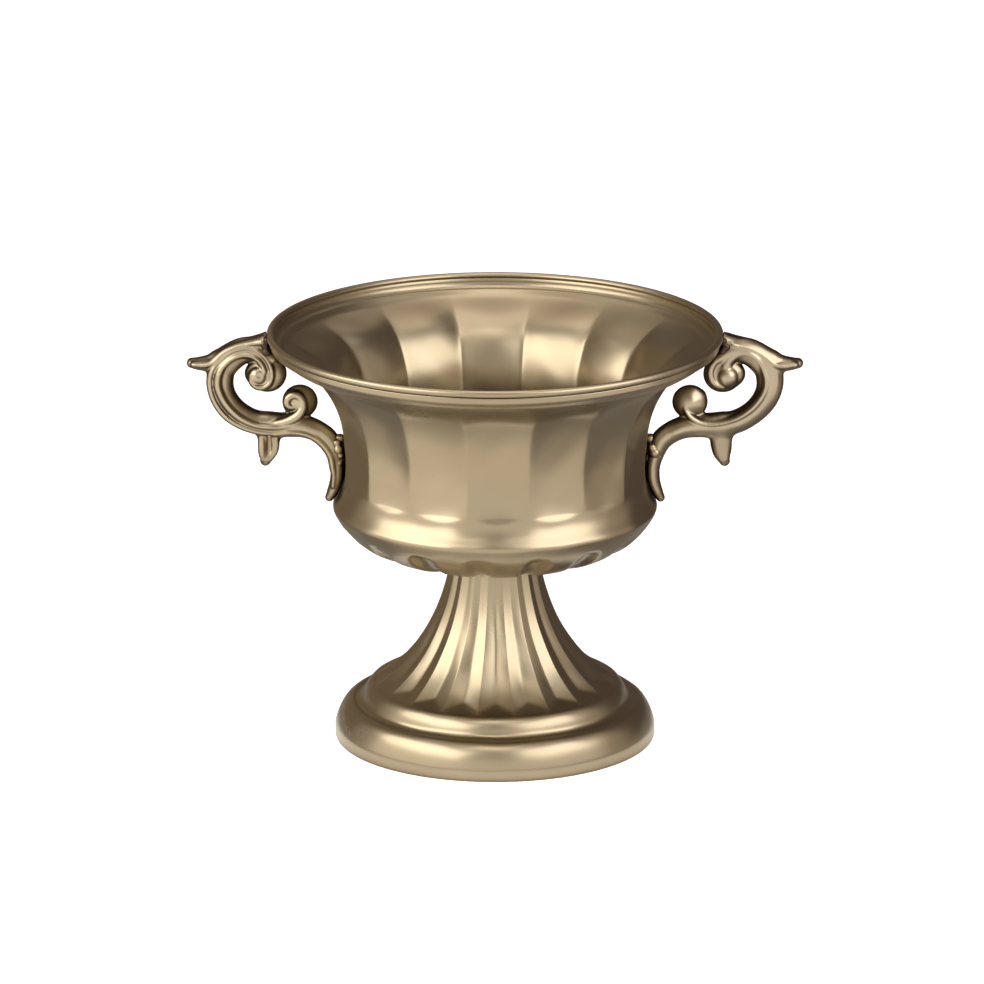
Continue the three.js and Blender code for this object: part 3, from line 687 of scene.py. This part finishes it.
def lay_back(clay):
    """The plainer face: crests along the arm and the scroll, and a ball in the upper end."""
    arm_crest = [(108.6, 140.3, 1.2), (104.6, 139.9, 1.5), (101.6, 140.3, 1.5),
                 (99.4, 141.8, 1.3), (97.4, 143.5, 1.2), (95.0, 145.1, 1.1), (92.2, 146.4, 1.1),
                 (89.2, 147.2, 1.2), (86.0, 148.0, 1.4)]
    scroll_crest = [(88.6, 144.8, 1.1), (91.6, 144.6, 1.3), (94.2, 143.2, 1.4),
                    (96.1, 140.8, 1.4), (97.4, 137.7, 1.5), (98.1, 134.5, 1.6),
                    (97.8, 131.2, 1.7), (96.0, 127.5, 1.7), (93.0, 124.0, 1.7),
                    (89.0, 121.1, 1.6), (84.5, 119.2, 1.5), (79.0, 118.2, 1.5),
                    (74.2, 118.8, 1.5), (70.9, 120.9, 1.4), (69.1, 123.4, 1.1),
                    (68.6, 125.4, 0.6)]
    outer_crest = [(101.4, 140.0, 1.1), (101.8, 136.2, 1.3), (101.6, 132.2, 1.3),
                   (100.2, 128.0, 1.2), (97.6, 124.0, 0.9)]
    bead = [(79.6, 141.6, 1.2), (78.2, 139.4, 1.4), (77.9, 137.0, 1.4), (78.6, 134.5, 1.4),
            (80.3, 132.8, 1.2), (82.6, 131.9, 0.8)]
    upper_end = [(88.6, 144.6, 1.6), (86.0, 143.4, 2.0), (84.0, 141.2, 2.2), (83.4, 138.8, 2.5)]
    clay.lay(arm_crest, 2.1, -2.4, CRISP, PEAKED)
    clay.lay(scroll_crest, 2.1, -2.8, CRISP, PEAKED)
    clay.lay(outer_crest, 1.8, -1.9, CRISP, PEAKED)
    clay.lay(bead, 1.9, -2.6, CRISP)
    clay.lay(upper_end, 2.6, -1.8, 0.6)
    clay.lay(spot(83.9, 135.9, 4.0), 3.6, -2.0, CRISP)


def build_handle(name, side):
    """The same casting for both hands: side -1 turns it half a turn about the axis."""
    points, faces = casting()
    make_piece(name + "_scroll_casting", points * (side, side, 1), faces.tolist(), cast_coat,
               name + "_handle", NO_SHARP_EDGES)


def build_braze(name, side, lumps, coat):
    """Lumps of braze, each (outwards, sideways, up, radius), melted together."""
    places = np.array(lumps)
    low = (places[:, :3] - places[:, 3:]).min(0) - 1
    high = (places[:, :3] + places[:, 3:]).max(0) + 1
    clay = Clay(low, high, GRID)
    for x, y, z, radius in lumps:
        clay.lay(spot(x, z, radius), radius, y, CRISP)
    clay.clear_of_bowl(BRAZE_GAP)
    points, faces = clay.skin()
    make_piece(name + "_bead", points * (side, side, 1), faces.tolist(), coat, name,
               NO_SHARP_EDGES)


UPPER_BRAZE = [(82.4, 2.7, 145.2, 1.7), (83.0, 2.9, 147.6, 1.4), (82.3, 3.2, 149.6, 1.2),
               (82.0, 0.4, 144.2, 2.0), (82.3, -2.6, 145.4, 1.6), (83.3, -2.4, 147.0, 1.9),
               (82.4, -3.0, 149.4, 1.2), (81.9, 1.6, 143.4, 1.1)]
LOWER_BRAZE = [(56.6, 2.6, 108.4, 1.7), (57.2, 2.3, 110.8, 1.4), (55.9, 2.6, 106.2, 1.2),
               (56.2, 0.2, 111.6, 2.1), (56.0, 0.1, 108.0, 2.6), (56.0, 0.0, 104.6, 2.4),
               (56.4, 1.9, 103.4, 1.4), (56.2, 1.8, 100.6, 1.2), (57.8, -2.9, 107.4, 2.0),
               (59.0, -2.3, 106.0, 1.4), (56.8, -2.8, 109.4, 1.5)]

for hand, side in (("right", 1), ("left", -1)):
    build_handle(hand, side)
    # The upper beads take the braze coat with painted shade, the lower beads the paler one
    build_braze(hand + "_upper_braze", side, UPPER_BRAZE, shaded_braze_coat)
    build_braze(hand + "_lower_braze", side, LOWER_BRAZE, pale_braze)

# The bolt, nut and washers are the solids themselves
FIXINGS = {
    "centre_bolt": zinc_plate, "plate_washer": zinc_plate, "spring_washer": zinc_plate,
    "hex_nut": zinc_plate, "seal_washer": rubber_black,
}
for name, coat in FIXINGS.items():
    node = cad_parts[name]
    node.data.materials.clear()
    node.data.materials.append(coat)


# Studio. Lengths are in metres and angles in degrees.

AIM = Vector((0, 0, 0.1))
TABLE_HALF = 4.0
TABLE_GLOW_NEAR = 0.6
TABLE_GLOW_FAR = 0.85
SHADE_RADII = (0.075, 0.3)
SHADE_HEIGHT = 0.4 * MM
SHADE_SIDES = 64
CLOTH_COLUMNS = 12
CLOTH_ROWS = 4
LAMP_DISTANCE = 1.3
LAMP_HEIGHT = 1.0
FAR = 1.8
NEAR = 0.3
NEAREST = 0.28
FOCAL_PX = 7800
PICTURE_PX = 984
SENSOR_MM = 36
CAMERA_PLACE = (-0.00108, -2.718, 0.8958)
CAMERA_DOWN = 16.482


def stage_sheet(name, corners, faces, material):
    mesh = bpy.data.meshes.new(name)
    mesh.from_pydata(corners, [], faces)
    mesh.materials.append(material)
    sheet = bpy.data.objects.new(name, mesh)
    bpy.context.scene.collection.objects.link(sheet)
    return sheet


def white_table():
    """A white table top. It glows a little, more so away from the bowl, so that it stays white
    in the picture while the lamps are low."""
    material = new_material("white_table")
    tree = material.node_tree
    place = add(tree, "ShaderNodeTexCoord").outputs["Object"]
    reach = add(tree, "ShaderNodeVectorMath", {"operation": "LENGTH"}, _0=place)
    strength = add(tree, "ShaderNodeMapRange", {"clamp": True}, Value=reach.outputs["Value"],
                   From_Min=0.45, From_Max=1.0, To_Min=TABLE_GLOW_NEAR, To_Max=TABLE_GLOW_FAR)
    surface = add(tree, "ShaderNodeBsdfDiffuse", Color=linear("F4F4F4"))
    glow = add(tree, "ShaderNodeEmission", Color=linear("FFFFFF"), Strength=strength.outputs[0])
    both = add(tree, "ShaderNodeAddShader", _0=surface.outputs[0], _1=glow.outputs[0])
    add(tree, "ShaderNodeOutputMaterial", Surface=both.outputs[0])
    half = TABLE_HALF
    corners = [(-half, -half, 0), (half, -half, 0), (half, half, 0), (-half, half, 0)]
    stage_sheet("table", corners, [(0, 1, 2, 3)], material)


def around(azimuth, elevation, distance):
    """A place round the bowl: azimuth 0 is the front, and grows towards +X."""
    az, el = math.radians(azimuth), math.radians(elevation)
    return AIM + distance * Vector((math.sin(az) * math.cos(el), -math.cos(az) * math.cos(el),
                                    math.sin(el)))


def only_mirrored(sheet):
    """Only reflections show this sheet: it gives them their pale and dark parts."""
    sheet.visible_camera = False
    sheet.visible_diffuse = False
    sheet.visible_shadow = False
    sheet.visible_transmission = False


def drape(name, azimuths, elevations, distance, hex_colour, strength):
    """Cloth hung round the set."""
    material = new_material(name + "_cloth")
    glow = add(material.node_tree, "ShaderNodeEmission", Color=linear(hex_colour),
               Strength=strength)
    add(material.node_tree, "ShaderNodeOutputMaterial", Surface=glow.outputs[0])
    across = np.linspace(*azimuths, CLOTH_COLUMNS + 1)
    up = np.linspace(*elevations, CLOTH_ROWS + 1)
    corners = [around(az, el, distance) for el in up for az in across]
    line = CLOTH_COLUMNS + 1
    starts = [row * line + column for row in range(CLOTH_ROWS) for column in range(CLOTH_COLUMNS)]
    faces = [(i, i + 1, i + line + 1, i + line) for i in starts]
    only_mirrored(stage_sheet(name, corners, faces, material))


def table_shade():
    """The table round the foot, as the metal mirrors it: pale in front, and darker behind."""
    material = new_material("table_shade")
    tree = material.node_tree
    place = add(tree, "ShaderNodeTexCoord").outputs["Object"]
    ahead = add(tree, "ShaderNodeVectorMath", {"operation": "DOT_PRODUCT"}, _0=place,
                _1=(-0.3, -1, 0))
    strength = add(tree, "ShaderNodeMapRange", {"clamp": True}, Value=ahead.outputs["Value"],
                   From_Min=0.03, From_Max=0.17, To_Min=0.33, To_Max=1.4)
    glow = add(tree, "ShaderNodeEmission", Color=linear("FFF6EC"), Strength=strength.outputs[0])
    add(tree, "ShaderNodeOutputMaterial", Surface=glow.outputs[0])
    turns = np.linspace(0, FULL_TURN, SHADE_SIDES + 1)
    corners = [(radius * math.cos(turn), radius * math.sin(turn), SHADE_HEIGHT)
               for radius in SHADE_RADII for turn in turns]
    ring = SHADE_SIDES + 1
    faces = [(i, i + ring, i + ring + 1, i + 1) for i in range(SHADE_SIDES)]
    only_mirrored(stage_sheet("table_shade", corners, faces, material))


def softbox(name, azimuth, elevation, width, power, tint):
    """A soft lamp that faces the bowl."""
    lamp = bpy.data.lights.new(name, "AREA")
    lamp.shape = "RECTANGLE"
    lamp.size = width
    lamp.size_y = LAMP_HEIGHT
    lamp.energy = power
    lamp.color = linear(tint)[:3]
    box = bpy.data.objects.new(name, lamp)
    box.location = around(azimuth, elevation, LAMP_DISTANCE)
    box.rotation_euler = (AIM - box.location).to_track_quat("-Z", "Y").to_euler()
    bpy.context.scene.collection.objects.link(box)


def studio_world():
    """A pale room, and white where it is seen or mirrored."""
    world = bpy.data.worlds.new("studio")
    world.use_nodes = True
    tree = world.node_tree
    tree.nodes.clear()
    path = add(tree, "ShaderNodeLightPath")
    seen = add(tree, "ShaderNodeMath", {"operation": "MAXIMUM"},
               _0=path.outputs["Is Camera Ray"], _1=path.outputs["Is Transmission Ray"])
    mirrored = add(tree, "ShaderNodeMath", {"operation": "MAXIMUM"},
                   _0=seen.outputs[0], _1=path.outputs["Is Glossy Ray"])
    room = add(tree, "ShaderNodeBackground", Color=linear("9A928A"), Strength=1.0)
    pale = add(tree, "ShaderNodeBackground", Color=linear("FFFFFF"), Strength=1.0)
    both = add(tree, "ShaderNodeMixShader", _0=mirrored.outputs[0], _1=room.outputs[0],
               _2=pale.outputs[0])
    add(tree, "ShaderNodeOutputWorld", Surface=both.outputs[0])
    bpy.context.scene.world = world


def photo_camera():
    """The photograph's viewpoint: a long lens, 16.5 degrees above the horizon."""
    camera = bpy.data.cameras.new("photo_camera")
    camera.sensor_width = SENSOR_MM
    camera.lens = FOCAL_PX * SENSOR_MM / PICTURE_PX
    camera.clip_end = 50
    eye = bpy.data.objects.new("photo_camera", camera)
    eye.location = CAMERA_PLACE
    eye.rotation_euler = (math.radians(90 - CAMERA_DOWN), 0, 0)
    bpy.context.scene.collection.objects.link(eye)
    bpy.context.scene.camera = eye


# Cloths round the set: (name, azimuths, elevations, distance, colour, strength)
CLOTHS = (
    ("front_table_edge", (-28, 26), (6, 20), FAR, "FFF6EC", 1.1),
    ("front_wall", (-28, 26), (20, 55), FAR, "FFF6EC", 0.62),
    ("front_top", (-28, 28), (55, 72), FAR, "FFF8F0", 2.8),
    ("ceiling_right", (28, 125), (60, 72), FAR, "FFF4EA", 0.75),
    ("ceiling_left", (-28, -100), (60, 72), FAR, "FFF4EA", 0.75),
    ("back_high", (125, 260), (12, 40), FAR, "FFE8DA", 0.2),
    ("ceiling_back", (125, 260), (40, 58), FAR, "FFF2E6", 0.7),
    ("ceiling_high", (125, 260), (58, 72), FAR, "FFF2E6", 1.3),
    ("ceiling_top", (-180, 180), (72, 90), FAR, "FFF6EE", 2.0),
    ("left_low", (-92, -28), (-19, 6), NEAR, "FFF8EE", 1.55),
    ("front_low", (-28, 24), (-19, 6), NEAR, "FFF8F0", 1.3),
    ("right_low", (24, 76), (-19, 6), NEAR, "FFF6F0", 1.3),
    ("right_edge", (76, 102), (-20, 60), NEAREST, "FFECDC", 0.6),
    ("right_drape", (102, 165), (-20, 60), NEAREST, "FFE2D1", 0.14),
    ("left_edge", (-92, -112), (-20, 60), NEAREST, "FFECDC", 0.5),
    ("left_drape", (-112, -165), (-20, 44), NEAREST, "FFE3BD", 0.27),
    ("back_wall", (160, 200), (-20, 36), NEAR, "FFE3D0", 0.15),
)

white_table()
table_shade()
studio_world()
softbox("left_softbox", -61, 30, 1.6, 15.4, "FFFAF2")
softbox("right_softbox", 53, 30, 1.27, 10.6, "FFFCFA")
for cloth in CLOTHS:
    drape(*cloth)
photo_camera()
bpy.context.scene.view_settings.view_transform = "Standard"
